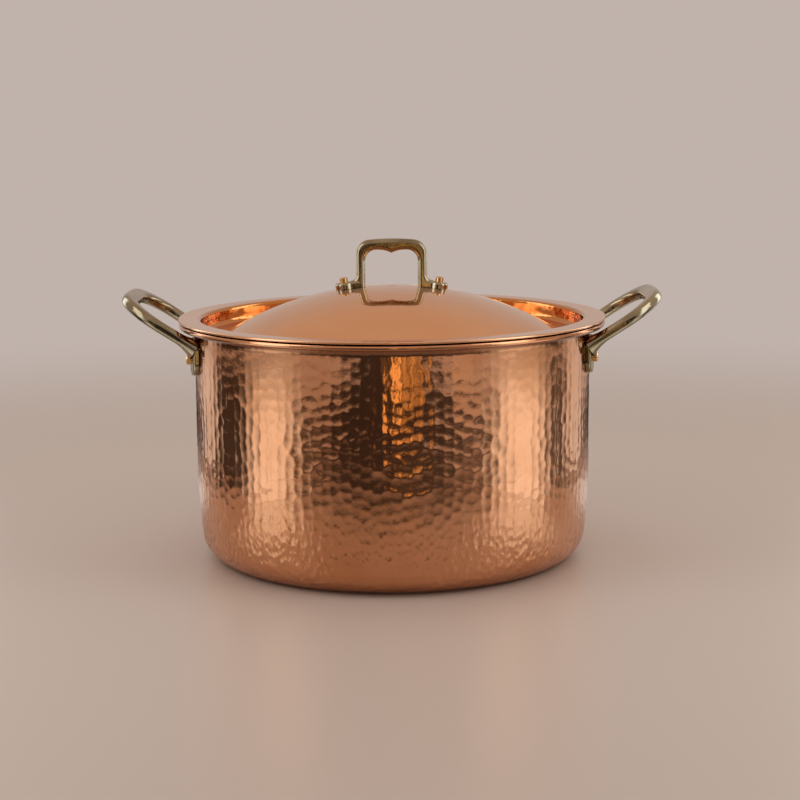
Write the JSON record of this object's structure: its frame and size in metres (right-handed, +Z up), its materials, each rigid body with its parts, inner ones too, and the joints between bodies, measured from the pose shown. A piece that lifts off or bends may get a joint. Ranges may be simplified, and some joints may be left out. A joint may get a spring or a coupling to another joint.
{
  "type": "casserole",
  "caption": "Round hammered copper casserole with a domed lift-off lid, tilted cast brass loop handles at the sides and an upright brass bail on the lid, all riveted.",
  "frame": {"origin": "centre of the flat base", "axes": "+Z up through the pot; the side handles lie along X; the front of the picture is -Y"},
  "size_m": [0.3788, 0.3028, 0.2255],
  "materials": {
    "hammered_copper": "hammered and polished",
    "satin_copper": "satin",
    "rivet_copper": "peened",
    "cast_brass": "cast and polished, darkened with age",
    "tin": "wiped, satin"
  },
  "bodies": {
    "pot": {"pot_body": "hammered_copper", "pot_tin_lining": "tin", "left_handle": "cast_brass", "right_handle": "cast_brass", "left_front_rivet": "rivet_copper", "left_rear_rivet": "rivet_copper", "right_front_rivet": "rivet_copper", "right_rear_rivet": "rivet_copper"},
    "lid": {"lid": "satin_copper", "lid_tin_lining": "tin", "lid_handle": "cast_brass", "lid_left_rivet": "rivet_copper", "lid_right_rivet": "rivet_copper"}
  },
  "joints": [
    {"name": "lid_lift", "type": "slide", "parent": "pot", "child": "lid", "axis": [0, 0, 1], "range_m": [0, 0.2]}
  ]
}
